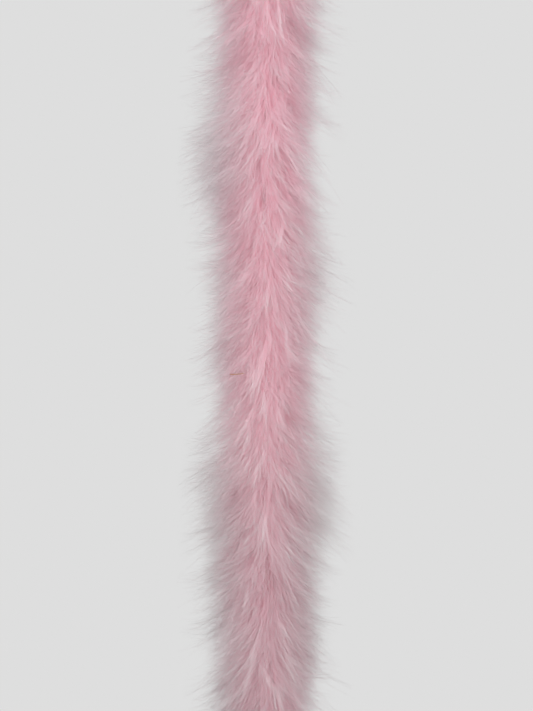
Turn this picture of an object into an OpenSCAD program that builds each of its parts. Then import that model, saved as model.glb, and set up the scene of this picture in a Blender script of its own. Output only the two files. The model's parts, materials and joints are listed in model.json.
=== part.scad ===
// Feather boa: small down feathers bound round a limp cord, hanging from a loop.
// Millimetres. The origin is where a hook bears inside the hang loop, and the boa hangs along -Z.
// The limp cord is held as a chain of short lengths, each one hinged to the length above it.

/* [Length] */
// Number of hinged lengths of feathered cord
link_count = 12; // [4:1:12]
// Length of one of them, from hinge to hinge
link_len = 150; // [140:5:180]

/* [Cord] */
// Diameter of the core cord and of both loops
cord_d = 2.6; // [2.2:0.1:2.8]
// Inner radius of the hang loop and of the end loop
loop_inner_r = 6.8; // [6:0.2:9]
// From the centre of a loop's round end to the point where its legs cross
loop_reach = 26; // [24:1:32]
// Diameter of the knots
knot_d = 9.6; // [9:0.2:11]
// Height of the knots
knot_h = 9; // [8:0.5:11]
// Length of the thread whippings
whipping_len = 7; // [5:0.5:8]

/* [Feathers] */
// Feathers on one hinged length
plumes_per_link = 25; // [15:1:25]
// Length of the bare quill that is bound to the cord
quill_len = 9; // [7:0.5:9]
// Diameter of a quill
quill_d = 0.9; // [0.7:0.1:0.9]
// How far the down stands out from the cord where it stands out most
fluff_reach = 42; // [32:1:44]
// Longest down vane
vane_max_len = 62; // [50:1:64]
// Width of a down vane
vane_w = 24; // [16:1:26]
// Thickness of a down vane pressed flat
vane_t = 1; // [0.8:0.1:1.2]
// How far below level the uppermost vane of a length droops, in degrees
droop_top = 70; // [66:1:71]
// How far below level the lowest vane of a length droops, in degrees
droop_low = 10; // [8:1:14]
// Turn from one feather to the next, in degrees
spiral_step = 137.5; // [135:0.5:140]

/* [Thread] */
// Width of the binding thread, pulled flat
thread_d = 0.4; // [0.3:0.05:0.4]

/* [Hidden] */
function two(i) = i < 10 ? str("0", i) : str(i);
function per_link(part) = [for (i = [1:link_count]) str(part, "_", two(i))];
$fn = 48;

down_pink = [0.93, 0.69, 0.75];
cord_pink = [0.86, 0.52, 0.60];
thread_pink = [0.90, 0.62, 0.70];
quill_ivory = [0.95, 0.84, 0.80];

cord_r = cord_d / 2;
fit_gap = 0.05;                              // between pieces that touch within one length
loop_r = loop_inner_r + cord_r;              // radius of a loop's centre line
leg_tilt = asin(loop_r / loop_reach);        // how far a loop's legs lean inwards
bend_swell = 0.1;                            // extra radius of the cord where a loop's bend ends
leg_cut = 4.6;                               // how far short of their crossing the legs end
cross_z = -loop_inner_r - loop_reach;        // where the hang loop's legs cross
knot_up = 2;                                 // from that crossing up to the middle of the knot
knot_z = cross_z + knot_up;                  // middle of the top knot
knot_bite = 1;                               // how deep a cord's end sits in a knot
knot_round_r = 3;                            // radius of the two round turns of a knot
waist_depth = 0.5;                           // how deep the waist between those turns is
waist_h = 2;                                 // height of that waist
cut_over = 1;                                // how far a cut runs out past what it cuts
hinge_gap = 1.75;                            // from a hinge to the round end of the cord at it
whipping_wall = 1.2;                         // depth of the thread wound round the cord
whipping_off = 1;                            // from a knot to the whipping beside it
neck_bare = 1.4;                             // from the top whipping to the neck's round end
neck_len = whipping_off + whipping_len + neck_bare;
first_hinge_z = knot_z - knot_h / 2 - neck_len - hinge_gap;
last_z = first_hinge_z - link_count * link_len;          // lower end of the feathered cord
tail_bare = 1;                                           // from there to the bottom whipping
tail_len = tail_bare + whipping_len + whipping_off;      // cord below the feathers, to its knot
low_knot_z = last_z - tail_len - knot_h / 2;

quill_r_at = cord_r + fit_gap + quill_d / 2;             // from the cord's axis to a quill's
quill_start = 2;                                         // from a hinge to its first quill
quill_end = 4.4;                                         // from the last quill to the next hinge
root_drop = 0.2;                                         // from a quill's end down to its vane
root_out = 0.15;                                         // from a quill's axis out to its vane
feather_step = (link_len - quill_start - quill_len - quill_end) / (plumes_per_link - 1);
ring_r = quill_r_at + quill_d / 2 + fit_gap + thread_d / 2;
ring_back = 0.6;                                         // from a vane's root up to a thread turn

function hinge_z(i) = first_hinge_z - (i - 1) * link_len;
function root_s(k) = quill_start + quill_len + root_drop + k * feather_step;
function droop(k) = droop_top + (droop_low - droop_top) * k / (plumes_per_link - 1);
function vane_len(k) = min(vane_max_len, fluff_reach / cos(droop(k)));
function spiral(i, k) = spiral_step * ((i - 1) * plumes_per_link + k);

// A capsule of cord between two heights, with a round end at the top, the bottom or both
module cord_run(z_top, z_low, round_top, round_low) {
    translate([0, 0, z_low]) cylinder(h = z_top - z_low, r = cord_r);
    if (round_top) translate([0, 0, z_top]) sphere(r = cord_r);
    if (round_low) translate([0, 0, z_low]) sphere(r = cord_r);
}

// One straight leg of a loop, from its round end in towards the crossing; side is 1 or -1
module loop_leg(side, r, cut) {
    leg_len = loop_reach * cos(leg_tilt) - cut;
    translate([side * loop_r * cos(leg_tilt), 0, -loop_r * sin(leg_tilt)])
        rotate([0, side * (180 + leg_tilt), 0]) cylinder(h = leg_len, r = r);
}

// A teardrop of cord in the XZ plane, its round end's centre at the origin and its legs down
module cord_loop() {
    rotate([90, 0, 0]) rotate([0, 0, -leg_tilt])
        rotate_extrude(angle = 180 + 2 * leg_tilt) translate([loop_r, 0]) circle(r = cord_r);
    for (side = [-1, 1]) {
        loop_leg(side, cord_r, leg_cut);
        // the cord swells a little where its bend ends
        translate([side * loop_r * cos(leg_tilt), 0, -loop_r * sin(leg_tilt)])
            sphere(r = cord_r + bend_swell);
    }
}

// A pulled-tight knot round a loop's legs, which come in from above, and a cord from below
module knot() {
    difference() {
        rotate_extrude() intersection() {
            knot_outline();
            translate([0, -knot_h / 2]) square([knot_d / 2, knot_h]);
        }
        translate([0, 0, loop_reach - knot_up])
            for (side = [-1, 1]) loop_leg(side, cord_r + fit_gap, leg_cut - fit_gap);
        translate([0, 0, -knot_h / 2 - cut_over])
            cylinder(h = knot_bite + cut_over, r = cord_r + fit_gap);
    }
}

// Half outline of a knot: a waist between two round turns of cord
module knot_outline() {
    for (side = [-1, 1])
        translate([knot_d / 2 - knot_round_r, side * (knot_h / 2 - knot_round_r)])
            circle(r = knot_round_r);
    translate([0, -knot_h / 2]) square([knot_d / 2 - knot_round_r, knot_h]);
    translate([0, -waist_h / 2]) square([knot_d / 2 - waist_depth, waist_h]);
}

module whipping() {
    difference() {
        cylinder(h = whipping_len, r = cord_r + fit_gap + whipping_wall);
        translate([0, 0, -cut_over])
            cylinder(h = whipping_len + 2 * cut_over, r = cord_r + fit_gap);
    }
}

// A down vane pressed flat: a leaf of two arcs, its root at the origin, pointing along +X
module vane(len) {
    arc_r = (len * len / 4 + vane_w * vane_w / 4) / vane_w;
    translate([len / 2, 0, -vane_t / 2]) linear_extrude(vane_t) intersection() {
        translate([0, arc_r - vane_w / 2]) circle(r = arc_r, $fn = 128);
        translate([0, vane_w / 2 - arc_r]) circle(r = arc_r, $fn = 128);
    }
}

module hang_loop() {
    color(cord_pink) translate([0, 0, -loop_inner_r]) cord_loop();
}

module top_knot() {
    color(cord_pink) translate([0, 0, knot_z]) knot();
}

module neck_cord() {
    top_z = knot_z - knot_h / 2 + knot_bite - fit_gap;
    color(cord_pink) cord_run(top_z, first_hinge_z + hinge_gap, false, true);
}

module top_whipping() {
    color(thread_pink)
        translate([0, 0, knot_z - knot_h / 2 - whipping_off - whipping_len]) whipping();
}

module core_cord(i) {
    last = i == link_count;
    low_z = last ? last_z - tail_len - knot_bite + fit_gap : hinge_z(i + 1) + hinge_gap;
    color(cord_pink) cord_run(hinge_z(i) - hinge_gap, low_z, true, !last);
}

module binding_thread(i) {
    color(thread_pink) for (k = [0:plumes_per_link])
        translate([0, 0, hinge_z(i) - root_s(k) + feather_step + ring_back])
            rotate_extrude() translate([ring_r, 0]) square(thread_d, center = true);
}

module quills(i) {
    color(quill_ivory) for (k = [0:plumes_per_link - 1])
        rotate([0, 0, spiral(i, k)])
            translate([quill_r_at, 0, hinge_z(i) - root_s(k) + root_drop])
                cylinder(h = quill_len, d = quill_d, $fn = 24);
}

module plumes(i) {
    color(down_pink) for (k = [0:plumes_per_link - 1])
        rotate([0, 0, spiral(i, k)])
            translate([quill_r_at + root_out, 0, hinge_z(i) - root_s(k) - vane_t / 2])
                rotate([0, droop(k), 0]) vane(vane_len(k));
}

module bottom_whipping() {
    color(thread_pink)
        translate([0, 0, last_z - tail_bare - whipping_len]) whipping();
}

module bottom_knot() {
    color(cord_pink) translate([0, 0, low_knot_z]) rotate([180, 0, 0]) knot();
}

module end_loop() {
    color(cord_pink) translate([0, 0, low_knot_z + knot_up - loop_reach])
        rotate([180, 0, 0]) cord_loop();
}

hang_loop();
top_knot();
neck_cord();
top_whipping();
for (i = [1:link_count]) {
    core_cord(i);
    binding_thread(i);
    quills(i);
    plumes(i);
}
bottom_whipping();
bottom_knot();
end_loop();
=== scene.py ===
"""A pale pink boa of small down feathers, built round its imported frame. Metres, +Z up."""

import json
import math
from collections import namedtuple

import bpy
import numpy as np
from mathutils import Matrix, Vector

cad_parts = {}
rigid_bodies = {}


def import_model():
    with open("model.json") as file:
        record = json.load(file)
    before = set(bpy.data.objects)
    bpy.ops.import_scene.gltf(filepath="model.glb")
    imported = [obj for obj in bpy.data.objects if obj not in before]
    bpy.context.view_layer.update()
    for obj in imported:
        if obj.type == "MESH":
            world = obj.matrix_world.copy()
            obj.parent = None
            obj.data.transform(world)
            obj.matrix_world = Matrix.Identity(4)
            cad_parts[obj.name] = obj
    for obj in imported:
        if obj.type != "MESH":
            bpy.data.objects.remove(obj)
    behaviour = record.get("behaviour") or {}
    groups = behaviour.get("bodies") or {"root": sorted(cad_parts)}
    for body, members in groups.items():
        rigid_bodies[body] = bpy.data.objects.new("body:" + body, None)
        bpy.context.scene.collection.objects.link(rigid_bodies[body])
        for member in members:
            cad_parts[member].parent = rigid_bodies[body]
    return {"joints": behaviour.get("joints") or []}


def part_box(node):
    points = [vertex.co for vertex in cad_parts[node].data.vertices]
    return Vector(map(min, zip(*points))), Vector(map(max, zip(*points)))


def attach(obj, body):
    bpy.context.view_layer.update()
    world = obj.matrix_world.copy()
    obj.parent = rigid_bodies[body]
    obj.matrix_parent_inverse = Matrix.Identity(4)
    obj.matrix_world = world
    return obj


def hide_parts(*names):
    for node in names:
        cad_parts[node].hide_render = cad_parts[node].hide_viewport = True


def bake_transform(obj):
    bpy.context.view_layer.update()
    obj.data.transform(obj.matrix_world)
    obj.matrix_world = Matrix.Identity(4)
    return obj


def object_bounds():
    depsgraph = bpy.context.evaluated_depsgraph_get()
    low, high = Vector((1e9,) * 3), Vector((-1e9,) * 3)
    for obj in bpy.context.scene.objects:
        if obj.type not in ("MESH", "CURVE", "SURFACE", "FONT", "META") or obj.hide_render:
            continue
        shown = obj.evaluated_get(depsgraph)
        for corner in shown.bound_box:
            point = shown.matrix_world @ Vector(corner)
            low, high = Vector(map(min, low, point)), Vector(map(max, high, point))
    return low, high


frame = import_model()
cad_low, cad_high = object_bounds()

MM = 0.001
TURN = 2 * math.pi
rng = np.random.default_rng(20)

# ---------------------------------------------------------------- what the frame says
joints = frame["joints"]
hinge_z = [j["pos_m"][2] for j in joints]          # from the top one down
hinge_bodies = [(j["parent"], j["child"]) for j in joints]
LENGTHS = len(joints)
LENGTH = hinge_z[0] - hinge_z[1]
feathers_top = hinge_z[0]
feathers_low = hinge_z[-1] - LENGTH


def node_radius(node):
    """Half the width of a node."""
    low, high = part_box(node)
    return (high.x - low.x) / 2


def node_middle_z(node):
    """The height halfway up a node."""
    low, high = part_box(node)
    return (low.z + high.z) / 2


def middle_of_length(i):
    """The height halfway down the i-th hinged length, counted from 1."""
    return hinge_z[i - 1] - LENGTH / 2


cord_r = node_radius("core_cord_01")
thread_r = 0.2 * MM                                      # half the CAD thread's width
wound_r = node_radius("binding_thread_01") - thread_r    # from the cord's axis to the thread's
quill_r = 0.45 * MM                                      # the radius of the CAD quills
quill_at = wound_r - thread_r - quill_r                  # from the cord's axis to a quill's
BEND_SWELL = 0.1 * MM                                    # of the cord, where a loop's bend ends
loop_r = node_radius("hang_loop") - cord_r - BEND_SWELL  # radius of a loop's centre line

# ---------------------------------------------------------------- camera, stage and light
VIEW_MIDDLE = (feathers_top + feathers_low) / 2
VIEW_HEIGHT = 0.427                    # of the stretch that the camera takes in
CAMERA_AWAY = 2.2
SENSOR = 36.0
CLIP_END = 50
STUDIO = 0.7305                        # brightness of the backdrop
# each light: its place from the middle of the view, its side in metres and its power in watts
KEY = ((-0.02, -1.4, 0.6), 2.4, 38)
BACK = ((0.5, 1.9, 0.9), 1.2, 4)
FLOOR_DROP = 60 * MM                   # from the lowest point of the CAD down to the floor
FLOOR_HALF = 4.0


def make_camera():
    data = bpy.data.cameras.new("camera")
    data.sensor_width = SENSOR
    data.lens = SENSOR * CAMERA_AWAY / VIEW_HEIGHT
    data.clip_end = CLIP_END
    camera = bpy.data.objects.new("camera", data)
    camera.location = (0, -CAMERA_AWAY, VIEW_MIDDLE)
    camera.rotation_euler = (math.pi / 2, 0, 0)
    bpy.context.scene.collection.objects.link(camera)
    bpy.context.scene.camera = camera


def area_light(name, place, side, power):
    """A square light, aimed at the middle of the view."""
    data = bpy.data.lights.new(name, "AREA")
    data.shape = "RECTANGLE"
    data.size, data.size_y, data.energy = side, side, power
    light = bpy.data.objects.new(name, data)
    x, y, z = place
    light.location = (x, y, VIEW_MIDDLE + z)
    flat = math.hypot(x, y)
    light.rotation_euler = (math.pi / 2 + math.atan2(-z, flat), 0, math.atan2(x, -y))
    bpy.context.scene.collection.objects.link(light)


def make_light():
    world = bpy.data.worlds.new("studio")
    world.use_nodes = True
    back = world.node_tree.nodes["Background"]
    back.inputs["Color"].default_value = (STUDIO, STUDIO, STUDIO, 1)
    back.inputs["Strength"].default_value = 1.0
    bpy.context.scene.world = world
    bpy.context.scene.view_settings.view_transform = "Standard"
    area_light("key", *KEY)
    area_light("back", *BACK)


def make_floor():
    z = cad_low.z - FLOOR_DROP
    half = FLOOR_HALF
    mesh = bpy.data.meshes.new("floor")
    mesh.from_pydata([(-half, -half, z), (half, -half, z), (half, half, z), (-half, half, z)],
                     [], [(0, 1, 2, 3)])
    floor = bpy.data.objects.new("floor", mesh)
    bpy.context.scene.collection.objects.link(floor)
    material = bpy.data.materials.new("floor")
    material.use_nodes = True
    shader = material.node_tree.nodes["Principled BSDF"]
    shader.inputs["Base Color"].default_value = (0.78, 0.78, 0.78, 1)
    shader.inputs["Roughness"].default_value = 0.9
    mesh.materials.append(material)


# ---------------------------------------------------------------- meshes and materials
def mesh_object(name, points, faces, uv, material):
    """A smooth mesh object from arrays: faces is a list of integer arrays, one row a face."""
    mesh = bpy.data.meshes.new(name)
    mesh.vertices.add(len(points))
    mesh.vertices.foreach_set("co", np.asarray(points, np.float32).ravel())
    loops = np.concatenate([f.ravel() for f in faces]).astype(np.int32)
    sizes = np.concatenate([np.full(len(f), f.shape[1]) for f in faces])
    mesh.loops.add(len(loops))
    mesh.loops.foreach_set("vertex_index", loops)
    mesh.polygons.add(len(sizes))
    starts = np.concatenate([[0], np.cumsum(sizes)[:-1]]).astype(np.int32)
    mesh.polygons.foreach_set("loop_start", starts)
    layer = mesh.uv_layers.new(name="OFBake")
    layer.data.foreach_set("uv", np.asarray(uv, np.float32)[loops].ravel())
    mesh.polygons.foreach_set("use_smooth", np.full(len(sizes), True))
    mesh.update(calc_edges=True)
    mesh.materials.append(material)
    piece = bpy.data.objects.new(name, mesh)
    bpy.context.scene.collection.objects.link(piece)
    return piece


def new_material(name):
    """A node material: itself, its nodes, its links and its shader."""
    material = bpy.data.materials.new(name)
    material.use_nodes = True
    nodes = material.node_tree.nodes
    return material, nodes, material.node_tree.links, nodes["Principled BSDF"]


def ramp(nodes, stops):
    """A colour ramp node with these (place, colour) stops."""
    node = nodes.new("ShaderNodeValToRGB")
    elements = node.color_ramp.elements
    while len(elements) < len(stops):
        elements.new(0.5)
    for element, (place, colour) in zip(elements, stops):
        element.position = place
        element.color = (*colour, 1)
    return node


def multiply(nodes, links, a, b):
    """The product of two colours."""
    node = nodes.new("ShaderNodeMix")
    node.data_type, node.blend_type = "RGBA", "MULTIPLY"
    node.inputs["Factor"].default_value = 1.0
    links.new(a, node.inputs["A"])
    links.new(b, node.inputs["B"])
    return node.outputs["Result"]


def down_material():
    """Down: a point's distance from the cord sets a painted light, saturated pink near the cord and
    greyer at the tips, and each barb has its tone, with painted light by height in it.
    """
    material, nodes, links, shader = new_material("down")
    uv = nodes.new("ShaderNodeUVMap")
    uv.uv_map = "OFBake"
    parts = nodes.new("ShaderNodeSeparateXYZ")
    links.new(uv.outputs["UV"], parts.inputs[0])
    # painted light: the deeper, more saturated pink near the cord stands in for light bouncing
    # among the barbs deep in the down, and the greyer colour towards the tips for the duller light
    # of the thin outer barbs
    painted_bounce_ramp = ramp(nodes, [(0.0, (0.98, 0.58, 0.67)), (0.22, (0.98, 0.62, 0.70)),
                         (0.40, (0.96, 0.72, 0.78)), (0.60, (0.87, 0.80, 0.815)),
                         (1.0, (0.72, 0.69, 0.695))])
    links.new(parts.outputs["X"], painted_bounce_ramp.inputs["Fac"])
    # the tone carries random tone from lock to lock and the painted light by height
    tone = ramp(nodes, [(0.0, (0.76, 0.745, 0.765)), (0.25, (0.86, 0.885, 0.875)),
                        (0.5, (0.98, 0.975, 0.975)), (0.75, (1.0, 0.99, 1.0)),
                        (0.95, (1.0, 0.97, 0.99)), (0.975, (0.55, 0.30, 0.12))])
    links.new(parts.outputs["Y"], tone.inputs["Fac"])
    colour = multiply(nodes, links, painted_bounce_ramp.outputs["Color"], tone.outputs["Color"])
    links.new(colour, shader.inputs["Base Color"])
    shader.inputs["Roughness"].default_value = 0.75
    shader.inputs["Specular IOR Level"].default_value = 0.15
    shader.inputs["Sheen Weight"].default_value = 0.15
    through = nodes.new("ShaderNodeBsdfTranslucent")
    links.new(colour, through.inputs["Color"])
    both = nodes.new("ShaderNodeMixShader")
    both.inputs["Fac"].default_value = 0.5
    links.new(shader.outputs["BSDF"], both.inputs[1])
    links.new(through.outputs["BSDF"], both.inputs[2])
    links.new(both.outputs[0], nodes["Material Output"].inputs["Surface"])
    return material


def fibre_material(name, dark, light, roughness, streaks):
    """Spun fibre: fine streaks that run along a strand, in its colour, gloss and relief."""
    material, nodes, links, shader = new_material(name)
    uv = nodes.new("ShaderNodeUVMap")
    uv.uv_map = "OFBake"
    stretch = nodes.new("ShaderNodeMapping")
    stretch.inputs["Scale"].default_value = (streaks, 1.0, 1.0)
    links.new(uv.outputs["UV"], stretch.inputs["Vector"])
    fine = nodes.new("ShaderNodeTexNoise")
    fine.inputs["Scale"].default_value = 7
    fine.inputs["Detail"].default_value = 5
    links.new(stretch.outputs["Vector"], fine.inputs["Vector"])
    tint = ramp(nodes, [(0.32, dark), (0.68, light)])
    links.new(fine.outputs["Fac"], tint.inputs["Fac"])
    links.new(tint.outputs["Color"], shader.inputs["Base Color"])
    gloss = nodes.new("ShaderNodeMapRange")
    gloss.inputs["To Min"].default_value = roughness - 0.12
    gloss.inputs["To Max"].default_value = roughness + 0.12
    links.new(fine.outputs["Fac"], gloss.inputs["Value"])
    links.new(gloss.outputs["Result"], shader.inputs["Roughness"])
    bump = nodes.new("ShaderNodeBump")
    bump.inputs["Strength"].default_value = 0.5
    bump.inputs["Distance"].default_value = 0.05 * MM
    links.new(fine.outputs["Fac"], bump.inputs["Height"])
    links.new(bump.outputs["Normal"], shader.inputs["Normal"])
    return material


def quill_material():
    """A feather's shaft: ivory where it is bare and bound, pink where it carries down."""
    material, nodes, links, shader = new_material("quill")
    uv = nodes.new("ShaderNodeUVMap")
    uv.uv_map = "OFBake"
    parts = nodes.new("ShaderNodeSeparateXYZ")
    links.new(uv.outputs["UV"], parts.inputs[0])
    length = ramp(nodes, [(0.0, (0.80, 0.62, 0.52)), (0.18, (0.84, 0.66, 0.60)),
                          (0.35, (0.88, 0.60, 0.66)), (1.0, (0.92, 0.66, 0.73))])
    links.new(parts.outputs["Y"], length.inputs["Fac"])
    grain = nodes.new("ShaderNodeTexNoise")
    grain.inputs["Scale"].default_value = 14
    grain.inputs["Detail"].default_value = 4
    links.new(uv.outputs["UV"], grain.inputs["Vector"])
    cloud = ramp(nodes, [(0.3, (0.90, 0.88, 0.88)), (0.7, (1.0, 1.0, 1.0))])
    links.new(grain.outputs["Fac"], cloud.inputs["Fac"])
    colour = multiply(nodes, links, length.outputs["Color"], cloud.outputs["Color"])
    links.new(colour, shader.inputs["Base Color"])
    shader.inputs["Roughness"].default_value = 0.42
    shader.inputs["Specular IOR Level"].default_value = 0.4
    return material


# ---------------------------------------------------------------- down feathers
PLUMES = 300                           # feathers on the whole boa
SPIRAL = math.radians(137.5)           # turn from one feather to the next
QUILL = 9 * MM                         # length of the bare quill bound to the cord
FIRST_ROOT = 11.2 * MM                 # from the top of the feathered cord to a vane's foot
LAST_ROOT = 4.2 * MM                   # and from the lowest one to the cord's lower end
SHAFT = 38 * MM                        # length of the shaft inside the vane
# A kind of down: locks on a feather, barbs in a lock, branches of a barb, points along a barb, half
# its width at the root, how loosely the barbs of a lock lie, how far beyond the body a lock stands
# out at least and at most, and how much the tone varies from one lock to the next
Kind = namedtuple("Kind", "locks barbs branches rings half loose beyond tone")
BODY_DOWN = Kind(255, 1, 4, 4, 0.038 * MM, 1.0, (0, 0), 0.012)
TUFTS = Kind(6, 6, 3, 6, 0.055 * MM, 0.45, (3 * MM, 15 * MM), 0.06)
BARB_TONE = 0.012                      # how much the tone varies from barb to barb
BRANCH_TONE = 0.01                     # and from a barb to its branches
SHINE = 0.04                           # and how much a barb's shading normal strays
BODY = 37.6 * MM                       # the radius at which the body of the down ends
DROP = 28 * MM                         # how far most barbs fall on their way there
END_REACH = 90 * MM                    # feathers this near either end stand out more level
PAINTED_LIGHT_WAVE = 0.9                         # painted light: the down is painted lighter and darker along this length, lightest at the top of the view and darkest and greyest at its bottom, as if lit from above
PAINTED_LIGHT_SWING = 0.26                       # and this painted light changes its tone by this much either way
WIDEST = 56 * MM                       # the radius that the outermost colour is for
ROOM = 11.5 * MM                       # how far beyond the CAD box the wisps may stand out
FILAMENT_LINES = 6                     # ribbons that lie side by side in the brown filament
BROWN = 0.985                          # its tone
STRAYS = 0.03                          # share of the barbs that stand out beyond the rest
LOW_EASE = 0.35                        # share of the usual fall at the very lower end
TOP_EASE = 0.15                        # and at the very top
SHAFT_SAMPLES = 12
# degrees below level at which a shaft starts and ends, and how these vary
SHAFT_FALL, SHAFT_FALL_VARIES = 82, 3
SHAFT_END, SHAFT_END_VARIES = 60, 5
# degrees below level at which barbs leave their shaft, at which they end, and how these vary
BARB_FALL, BARB_FALL_VARIES = 64, 8
TIP_FALL, TIP_FALL_VARIES = 20, 14
OUTWARD = 0.7                          # how far from the cord a barb gets, as a share of its length
SHORTEST, LONGEST = 6 * MM, 70 * MM    # barb, before its length is fitted to its radius
LENGTH_FIT = (0.5, 1.35)               # least and most that this fit changes its length
FITTED_LONGEST = 72 * MM

# Swells and hollows of the strand in view: height over the view's middle and half-height in mm,
# the side it shows on (-1 left, 1 right, 0 both) and how much longer the down is there.
SWELLS = [(130, 36, -1, 0.44), (78, 12, -1, -0.14), (48, 24, -1, 0.16), (4, 11, -1, 0.14),
          (-68, 13, -1, 0.42), (-102, 34, -1, 0.14), (-165, 42, -1, 0.09), (206, 14, 1, 0.10),
          (134, 16, 1, -0.08), (57, 16, 1, 0.28), (22, 16, 1, 0.05), (-17, 22, 1, -0.10),
          (-70, 19, 1, 0.44), (-107, 17, 1, 0.18), (-168, 12, 1, 0.09), (-214, 26, 1, -0.14),
          (-214, 20, -1, -0.03)]


def unit(v):
    """Vectors brought to a length of 1."""
    return v / np.maximum(np.linalg.norm(v, axis=-1, keepdims=True), 1e-12)


def swells_everywhere():
    """The swells in view, and others like them along the rest of the boa."""
    shown = VIEW_HEIGHT / 2 + 20 * MM
    rows = [(VIEW_MIDDLE + h * MM, half * MM, side, more) for h, half, side, more in SWELLS]
    z = feathers_top
    while z > feathers_low:
        z -= rng.uniform(22, 40) * MM
        if abs(z - VIEW_MIDDLE) > shown:
            rows.append((z, rng.uniform(12, 26) * MM, rng.choice([-1, 0, 1]),
                         rng.normal(0.04, 0.12)))
    return np.array(rows)


def fullness(z, azimuth, rows):
    """How much longer or shorter than usual the down is at these heights and on these sides."""
    side = np.cos(azimuth)[..., None]
    facing = np.where(rows[:, 2] == 0, 1.0, np.maximum(0, rows[:, 2] * side))
    near = np.exp(-((z[..., None] - rows[:, 0]) / rows[:, 1]) ** 2)
    return 1 + (rows[:, 3] * facing * near).sum(-1)


def heading(fall, azimuth):
    """Unit vectors at an angle below level, and an azimuth."""
    return np.stack([np.cos(fall) * np.cos(azimuth), np.cos(fall) * np.sin(azimuth),
                     -np.sin(fall)], -1)


def shaft_line(root, azimuth, ease):
    """The vane's shaft: down along the cord first, then out and down; ease makes it more level."""
    t = np.linspace(0, 1, SHAFT_SAMPLES)
    first = ease * np.radians(rng.normal(SHAFT_FALL, SHAFT_FALL_VARIES))
    last = ease * np.radians(rng.normal(SHAFT_END, SHAFT_END_VARIES))
    fall = first + (last - first) * t
    steps = heading(fall, azimuth + rng.normal(0, 0.25) * t) * SHAFT / (SHAFT_SAMPLES - 1)
    return root + np.concatenate([np.zeros((1, 3)), np.cumsum(steps[:-1], 0)])


def along(line, s):
    """Values of a line's rows at places s from 0 to 1."""
    at = np.clip(s, 0, 1) * (len(line) - 1)
    low = np.minimum(at.astype(int), len(line) - 2)
    part = (at - low)[..., None]
    return line[low] * (1 - part) + line[low + 1] * part


def sweep_barbs(roots, reach, fall, azimuth, rings):
    """Centre lines that leave each root at the first fall and azimuth and reach the second."""
    u = (np.arange(rings - 1) + 0.5) / (rings - 1)
    falls = fall[0][..., None] + (fall[1] - fall[0])[..., None] * u
    turns = azimuth[0][..., None] + (azimuth[1] - azimuth[0])[..., None] * u
    steps = heading(falls, turns) * (reach / (rings - 1))[..., None, None]
    first = np.zeros((*roots.shape[:-1], 1, 3))
    return roots[..., None, :] + np.concatenate([first, np.cumsum(steps, -2)], -2)


def sweep_to(roots, goal, fall, azimuth, rings):
    """The same, as long as it takes for each tip to reach its radius."""
    out = goal - np.hypot(roots[..., 0], roots[..., 1])
    reach = np.clip(out / OUTWARD, SHORTEST, LONGEST)
    tip = sweep_barbs(roots, reach, fall, azimuth, rings)[..., -1, :]
    reach *= np.clip(goal / np.hypot(tip[..., 0], tip[..., 1]), *LENGTH_FIT)
    return sweep_barbs(roots, np.minimum(reach, FITTED_LONGEST), fall, azimuth, rings)


def short_of(full, share, shape):
    """Radii at which barbs end: near the full one for most, and up to a share of it less."""
    return full * (1 - share * rng.random(shape) ** 1.5)


def strays(shape, most):
    """What a few barbs stand out beyond the rest."""
    return (rng.random(shape) < STRAYS) * rng.uniform(2 * MM, most, shape)


def spread(degrees, shape):
    """Random angles, in radians."""
    return np.radians(rng.normal(0, degrees, shape))


def feather_down(shaft, azimuth, rows, ease, kind):
    """Barbs of one feather, lock by lock: their centre lines and tones."""
    locks, barbs, branches, rings = kind[:4]
    loose = kind.loose
    s = (np.arange(locks) + rng.random(locks)) / locks
    side = np.where(np.arange(locks) % 2, 1.0, -1.0)
    first_turn = azimuth + side * np.radians(rng.uniform(0, 180 - 75 * ease, locks))
    last_turn = first_turn + spread(16, locks)
    first_fall = np.radians(rng.normal(BARB_FALL * ease, BARB_FALL_VARIES, locks))
    last_fall = np.radians(rng.normal(TIP_FALL * ease, TIP_FALL_VARIES, locks))

    many = (locks, barbs)
    roots = along(shaft, s[:, None] + rng.normal(0, 0.022, many))
    roots = roots + rng.normal(0, 0.3 * MM, (*many, 3))
    fall = [first_fall[:, None] + loose * spread(6, many),
            last_fall[:, None] + loose * spread(12, many)]
    turn = [first_turn[:, None] + loose * spread(7, many),
            last_turn[:, None] + loose * spread(13, many)]
    full = BODY * fullness(roots[..., 2] - DROP, turn[1], rows)
    full = full + rng.uniform(*kind.beyond, (locks, 1))
    goal = short_of(full, 0.13, many) + strays(many, 14 * MM)
    lines = sweep_to(roots, goal, fall, turn, rings)
    tone = rng.normal(0, kind.tone, (locks, 1)) + rng.normal(0, BARB_TONE, many)

    parted = (locks, barbs, branches)
    start = rng.uniform(0.2, 0.65, parted)
    at = start * (rings - 1)
    low = at.astype(int)
    i, j = np.arange(locks)[:, None, None], np.arange(barbs)[None, :, None]
    share = (at - low)[..., None]
    feet = lines[i, j, low] * (1 - share) + lines[i, j, low + 1] * share
    ends = [f[..., None] for f in fall + turn]
    fall = [ends[0] + (ends[1] - ends[0]) * start + loose * spread(12, parted),
            ends[1] + loose * spread(20, parted)]
    turn = [ends[2] + (ends[3] - ends[2]) * start + loose * spread(14, parted),
            ends[3] + loose * spread(26, parted)]
    goal = short_of(goal[..., None], 0.14, parted) + strays(parted, 12 * MM)
    finer = sweep_to(feet, goal, fall, turn, rings)
    finer_tone = tone[..., None] + rng.normal(0, BRANCH_TONE, parted)
    return (np.concatenate([lines.reshape(-1, rings, 3), finer.reshape(-1, rings, 3)]),
            np.concatenate([tone.ravel(), finer_tone.ravel()]))


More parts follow.
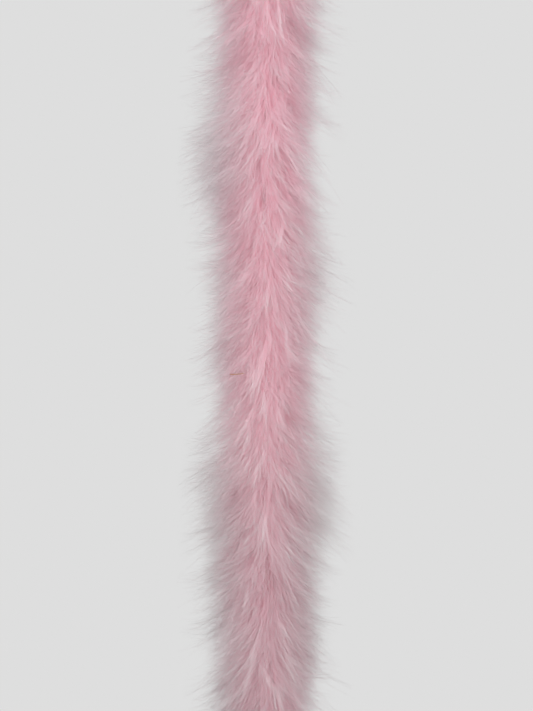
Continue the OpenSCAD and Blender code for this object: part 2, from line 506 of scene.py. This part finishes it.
def ribbons(lines, tone, half):
    """Tapering ribbons that face outwards: points, faces, colour lookups and normals."""
    count, rings = lines.shape[:2]
    tangent = unit(np.gradient(lines, axis=1))
    out = unit(lines * np.array([1, 1, 0])) + np.array([0, 0, 0.55])
    face = unit(out - (out * tangent).sum(-1, keepdims=True) * tangent)
    roll = rng.normal(0, math.radians(48), (count, 1, 1))
    across = np.cross(face, tangent) * np.cos(roll) + face * np.sin(roll)
    width = half * (1 - np.linspace(0, 1, rings)) ** 0.3
    left = lines + across * width[None, :, None]
    right = lines - across * width[None, :, None]
    shine = unit(out + rng.normal(0, SHINE, (count, 1, 3)))
    body = np.stack([left[:, :-1], right[:, :-1]], 2).reshape(count, -1, 3)
    points = np.concatenate([body, lines[:, -1:]], 1)
    normals = np.concatenate([np.repeat(shine[:, :-1], 2, 1), shine[:, -1:]], 1)
    each = 2 * rings - 1
    base = np.arange(count)[:, None] * each
    k = np.arange(rings - 2)
    quads = np.stack([2 * k, 2 * k + 1, 2 * k + 3, 2 * k + 2], 1)
    quads = (base[:, :, None] + quads[None]).reshape(-1, 4)
    tips = base + np.array([[each - 3, each - 2, each - 1]])
    radius = np.hypot(points[..., 0], points[..., 1]) / WIDEST
    strip = np.append(np.tile([-0.006, 0.006], rings - 1), 0)
    uv = np.stack([np.clip(radius, 0.005, 0.995), tone[:, None] + strip[None]], -1)
    return points.reshape(-1, 3), [quads, tips], uv.reshape(-1, 2), normals.reshape(-1, 3)


def joined(parts):
    """Several meshes as one; each is its points, its faces and then one value or more a point."""
    base = np.cumsum([0] + [len(part[0]) for part in parts])
    faces = [group + b for part, b in zip(parts, base) for group in part[1]]
    rest = [np.concatenate(column) for column in list(zip(*parts))[2:]]
    return np.concatenate([part[0] for part in parts]), faces, *rest


def grow_feathers(rows):
    """Every feather of the boa: its foot's height, its shaft, its barbs and their tones."""
    feathers = []
    feet = np.linspace(feathers_top - FIRST_ROOT, feathers_low + LAST_ROOT, PLUMES)
    for k, z in enumerate(feet):
        azimuth = SPIRAL * k + rng.normal(0, 0.25)
        root = np.array([quill_at * math.cos(azimuth), quill_at * math.sin(azimuth), z])
        low_ease = min(1, LOW_EASE + (z - feathers_low) / END_REACH)
        ease = min(low_ease, TOP_EASE + (feathers_top - z) / END_REACH)
        shaft = shaft_line(root, azimuth, low_ease)
        # painted light: lighter down at the top of the view and darker, greyer down at its bottom,
        # plus a little random tone for each feather
        light_by_height_and_tone = 0.5 + PAINTED_LIGHT_SWING * math.sin(TURN * (z - VIEW_MIDDLE) / PAINTED_LIGHT_WAVE) + rng.normal(0, 0.03)
        down = [feather_down(shaft, azimuth, rows, ease, kind) for kind in (BODY_DOWN, TUFTS)]
        down = [(lines, np.clip(light_by_height_and_tone + tone, 0.02, 0.93)) for lines, tone in down]
        feathers.append((z, shaft, down))
    return feathers


def limit_reach(points):
    """Draws in whatever stands out further than the room that the frame leaves."""
    most = cad_high.x + ROOM
    free, soft = 0.9 * most, 0.1 * most
    radius = np.hypot(points[:, 0], points[:, 1])
    over = np.maximum(radius - free, 0)
    drawn = np.where(over > 0, free + soft * (1 - np.exp(-over / soft)), radius)
    points[:, :2] *= (drawn / np.maximum(radius, 1e-9))[:, None]
    return points


def bind(piece, part):
    """Hangs the top part from the first hinge's child body and the lowest from the last one's; a
    part between, which lies across a hinge, keeps its place with its transform applied.
    """
    if part == 1:
        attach(piece, hinge_bodies[0][1])
    elif part == LENGTHS + 1:
        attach(piece, hinge_bodies[-1][1])
    else:
        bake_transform(piece)


def part_of(z):
    """Which part a height belongs to: part k runs from the middle of length k - 1 to that of k."""
    return 1 + sum(z <= middle_of_length(i) for i in range(1, LENGTHS + 1))


def stand_for(piece, part, family):
    """Puts a piece in the place of its part of one family of CAD nodes."""
    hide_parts(f"{family}_{min(part, LENGTHS):02d}")
    bind(piece, part)


def stray_filament():
    """A short brown filament caught on the front of the down, left of the middle."""
    t = np.linspace(-1, 1, TUFTS.rings)
    x, y = (-17 + 4.5 * t) * MM, (0.5 * t - 39) * MM
    z = VIEW_MIDDLE - 11 * MM + (0.4 * t + 0.3 * t ** 2) * MM
    lift = np.linspace(-0.2, 0.2, FILAMENT_LINES) * MM
    lines = np.stack([x, y, z], -1)[None] + lift[:, None, None] * np.array([0, 0, 1])
    return lines, np.full(FILAMENT_LINES, BROWN)


def make_down(feathers, material):
    """One piece of down for each part of the boa."""
    for part in range(1, LENGTHS + 2):
        mine = [f[2] for f in feathers if part_of(f[0]) == part]
        meshes = []
        for n, kind in enumerate((BODY_DOWN, TUFTS)):
            down = [f[n] for f in mine]
            if kind is TUFTS and part_of(VIEW_MIDDLE) == part:
                down.append(stray_filament())
            lines, tone = [np.concatenate(column) for column in zip(*down)]
            meshes.append(ribbons(lines, tone, kind.half))
        points, faces, uv, normals = joined(meshes)
        piece = mesh_object(f"down_{part:02d}", limit_reach(points), faces, uv, material)
        piece.data.normals_split_custom_set_from_vertices(normals)
        stand_for(piece, part, "plumes")


# ---------------------------------------------------------------- cord, thread and quills
LAY = 8.4 * MM                         # the cord's strands make one turn in this length
STRANDS = 3
STRAND_SIDES = 8
PRESSED = 1.04                         # a strand is this much thicker than its room
THREAD_PITCH = 3 * MM                  # of the binding thread's turns
SAMPLE = 1.1 * MM                      # from one ring of a strand to the next
KNOT_UP = 2 * MM                       # from where a loop's legs cross to the middle of its knot
KNOT_TURNS = 2.4
KNOT_SAMPLES = 90
KNOT_TUCK = 0.12                       # how much of its line is tucked in beyond either end
LEG_APART = 0.9 * MM                   # half the distance between a loop's legs where they cross
KNOT_SINK = 0.55                       # share of a knot's radius that its tucked ends lose
LAYERS = 3                             # of thread in a whipping
LAYER_STEP = 1.9                       # from one layer down to the next, in thread radii
WHIPPING_SAMPLES = 22                  # in one turn of a whipping
THREAD_SAMPLES = 14                    # in one turn of the binding thread


def pingpong(x):
    """0 to 1 and back again, over and over."""
    return 1 - np.abs(np.mod(x, 2) - 1)


def lengths_along(line):
    """How far along a line each of its points is."""
    return np.concatenate([[0], np.cumsum(np.linalg.norm(np.diff(line, axis=0), axis=1))])


def frame_of(line, aim):
    """A line with two directions across it, the first one as near to aim as it can be."""
    tangent = unit(np.gradient(line, axis=0))
    first = unit(aim - (aim * tangent).sum(-1, keepdims=True) * tangent)
    return line, first, np.cross(tangent, first)


def wound(axis, angle, radius):
    """A line wound round an axis, at the given angles and radius."""
    line, first, second = axis
    out = np.cos(angle)[:, None] * first + np.sin(angle)[:, None] * second
    return frame_of(line + np.asarray(radius).reshape(-1, 1) * out, out)


def tube(axis, thick, sides, v=None):
    """A round tube along a line: points, quads with two end caps, and a lookup for its material."""
    line, first, second = axis
    count = len(line)
    angle = TURN * np.arange(sides) / sides
    ring = (np.cos(angle)[None, :, None] * first[:, None]
            + np.sin(angle)[None, :, None] * second[:, None])
    points = line[:, None] + np.broadcast_to(thick, count)[:, None, None] * ring
    k, j = np.arange(count - 1)[:, None], np.arange(sides)[None]
    after = (j + 1) % sides
    quads = np.stack([k * sides + j, k * sides + after, (k + 1) * sides + after,
                      (k + 1) * sides + j], -1).reshape(-1, 4)
    caps = np.stack([np.arange(sides)[::-1], (count - 1) * sides + np.arange(sides)])
    if v is None:
        v = pingpong(lengths_along(line) / (6 * MM))
    uv = np.stack(np.broadcast_arrays(pingpong(2 * np.arange(sides) / sides)[None], v[:, None]), -1)
    return points.reshape(-1, 3), [quads, caps], np.clip(uv, 0.01, 0.99).reshape(-1, 2)


def rope(axis, phase=0.0):
    """Three strands twisted together round a line; they press a little into one another."""
    strand_r = cord_r / (1 + 2 / math.sqrt(3))
    turn = TURN * lengths_along(axis[0]) / LAY + phase
    lay_r = cord_r - strand_r
    return [tube(wound(axis, turn + TURN * n / STRANDS, lay_r), strand_r * PRESSED, STRAND_SIDES)
            for n in range(STRANDS)]


def plumb(high, low, step):
    """A line straight down the boa's axis, in steps of about this size."""
    count = max(2, int(round((high - low) / step)) + 1)
    z = np.linspace(high, low, count)
    line = np.stack([0 * z, 0 * z, z], -1)
    return frame_of(line, np.array([1.0, 0, 0]))


def part_ends(part, top, low):
    """The heights between which one part of the boa lies."""
    return (top if part == 1 else middle_of_length(part - 1),
            low if part == LENGTHS + 1 else middle_of_length(part))


def make_core(material):
    """The core cord, from knot to knot; its first piece takes in the short bare neck and runs
    across the first hinge.
    """
    top = node_middle_z("top_knot")
    low = node_middle_z("bottom_knot")
    for part in range(1, LENGTHS + 2):
        high_z, low_z = part_ends(part, top, low)
        mesh = joined(rope(plumb(high_z, low_z, SAMPLE), TURN * (top - high_z) / LAY))
        piece = mesh_object(f"cord_{part:02d}", *mesh, material)
        if part == 1:
            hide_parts("neck_cord", "core_cord_01")
            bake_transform(piece)
        else:
            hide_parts(f"core_cord_{min(part, LENGTHS):02d}")
            bind(piece, part)


def make_thread(material):
    """The binding thread, wound round the cord and the quills."""
    for part in range(1, LENGTHS + 2):
        high_z, low_z = part_ends(part, feathers_top - 2 * MM, feathers_low + 2 * MM)
        axis = plumb(high_z, low_z, THREAD_PITCH / THREAD_SAMPLES)
        turn = TURN * (feathers_top - axis[0][:, 2]) / THREAD_PITCH
        mesh = joined([tube(wound(axis, turn, wound_r), thread_r, 5)])
        piece = mesh_object(f"thread_{part:02d}", *mesh, material)
        stand_for(piece, part, "binding_thread")


def make_shafts(feathers, material):
    """Each feather's bare quill, bound along the cord, and its shaft inside the down."""
    for part in range(1, LENGTHS + 2):
        tubes = []
        for z, shaft, _ in feathers:
            if part_of(z) == part:
                top = shaft[0] + np.array([0, 0, QUILL])
                line = np.concatenate([[top, (top + shaft[0]) / 2], shaft])
                s = lengths_along(line) / (QUILL + SHAFT)
                out = shaft[0] * np.array([1, 1, 0])
                tubes.append(tube(frame_of(line, out), quill_r * (1 - 0.85 * s), 6, v=s))
        piece = mesh_object(f"shafts_{part:02d}", *joined(tubes), material)
        stand_for(piece, part, "quills")


def loop_axis(node, knot, way):
    """A teardrop of cord from its knot round and back; way is 1 with the loop above, or -1."""
    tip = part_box(node)[1].z if way > 0 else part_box(node)[0].z
    middle = tip - way * (cord_r + loop_r)
    cross = node_middle_z(knot) - way * KNOT_UP
    lean = math.asin(loop_r / abs(middle - cross))
    turn = np.linspace(-lean, math.pi + lean, 60)
    arc = np.stack([loop_r * np.cos(turn), 0 * turn, middle + way * loop_r * np.sin(turn)], -1)
    t = np.linspace(0, 1, 26)[:-1, None]
    right = np.array([0, LEG_APART, cross]) * (1 - t) + arc[0] * t
    left = arc[-1] * t[::-1] + np.array([0, -LEG_APART, cross]) * (1 - t[::-1])
    return frame_of(np.concatenate([right, arc, left]), np.array([0, 1.0, 0]))


def make_loop(node, knot, way, body, material):
    """One of the two loops of rope."""
    piece = mesh_object(f"{node}_rope", *joined(rope(loop_axis(node, knot, way))), material)
    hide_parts(node)
    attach(piece, body)


def make_knot(node, body, material):
    """Turns of cord pulled tight round the loop's legs, their two ends tucked in."""
    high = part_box(node)[1].z - cord_r
    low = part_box(node)[0].z + cord_r
    t = np.linspace(-KNOT_TUCK, 1 + KNOT_TUCK, KNOT_SAMPLES)
    inside = np.clip(np.maximum(-t, t - 1), 0, 1) / KNOT_TUCK
    line, first, second = plumb(high, low, (high - low) / (KNOT_SAMPLES - 1))
    turn = TURN * KNOT_TURNS * t
    line[:, 2] = high + (low - high) * np.clip(t, 0.02, 0.98) + 0.5 * MM * np.sin(turn + 0.6)
    radius = (node_radius(node) - cord_r) * (1 - KNOT_SINK * inside ** 1.5)
    axis = wound((line, first, second), turn, radius)
    piece = mesh_object(f"{node}_turns", *joined(rope(axis)), material)
    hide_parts(node)
    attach(piece, body)


def make_whipping(node, body, material):
    """Three layers of thread wound side by side round the cord."""
    high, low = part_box(node)[1].z - thread_r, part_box(node)[0].z + thread_r
    outer = node_radius(node) - thread_r
    layers = []
    for layer in range(LAYERS):
        axis = plumb(high, low, 2 * thread_r / WHIPPING_SAMPLES)
        turn = TURN * (high - axis[0][:, 2]) / (2 * thread_r) * (-1) ** layer
        radius = outer - LAYER_STEP * thread_r * layer
        layers.append(tube(wound(axis, turn, radius), thread_r, 6))
    piece = mesh_object(f"{node}_turns", *joined(layers), material)
    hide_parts(node)
    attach(piece, body)


def make_ends(cord, thread):
    """Both loops, both knots and both whippings."""
    top, last = hinge_bodies[0][0], hinge_bodies[-1][1]
    make_loop("hang_loop", "top_knot", 1, top, cord)
    make_loop("end_loop", "bottom_knot", -1, last, cord)
    make_knot("top_knot", top, cord)
    make_knot("bottom_knot", last, cord)
    make_whipping("top_whipping", top, thread)
    make_whipping("bottom_whipping", last, thread)


make_camera()
make_light()
make_floor()
CORD = fibre_material("cord", dark=(0.62, 0.27, 0.35), light=(0.86, 0.50, 0.58),
                      roughness=0.72, streaks=5)
THREAD = fibre_material("thread", dark=(0.72, 0.36, 0.45), light=(0.92, 0.62, 0.70),
                        roughness=0.45, streaks=3)
feathers = grow_feathers(swells_everywhere())
make_down(feathers, down_material())
make_shafts(feathers, quill_material())
make_core(CORD)
make_thread(THREAD)
make_ends(CORD, THREAD)
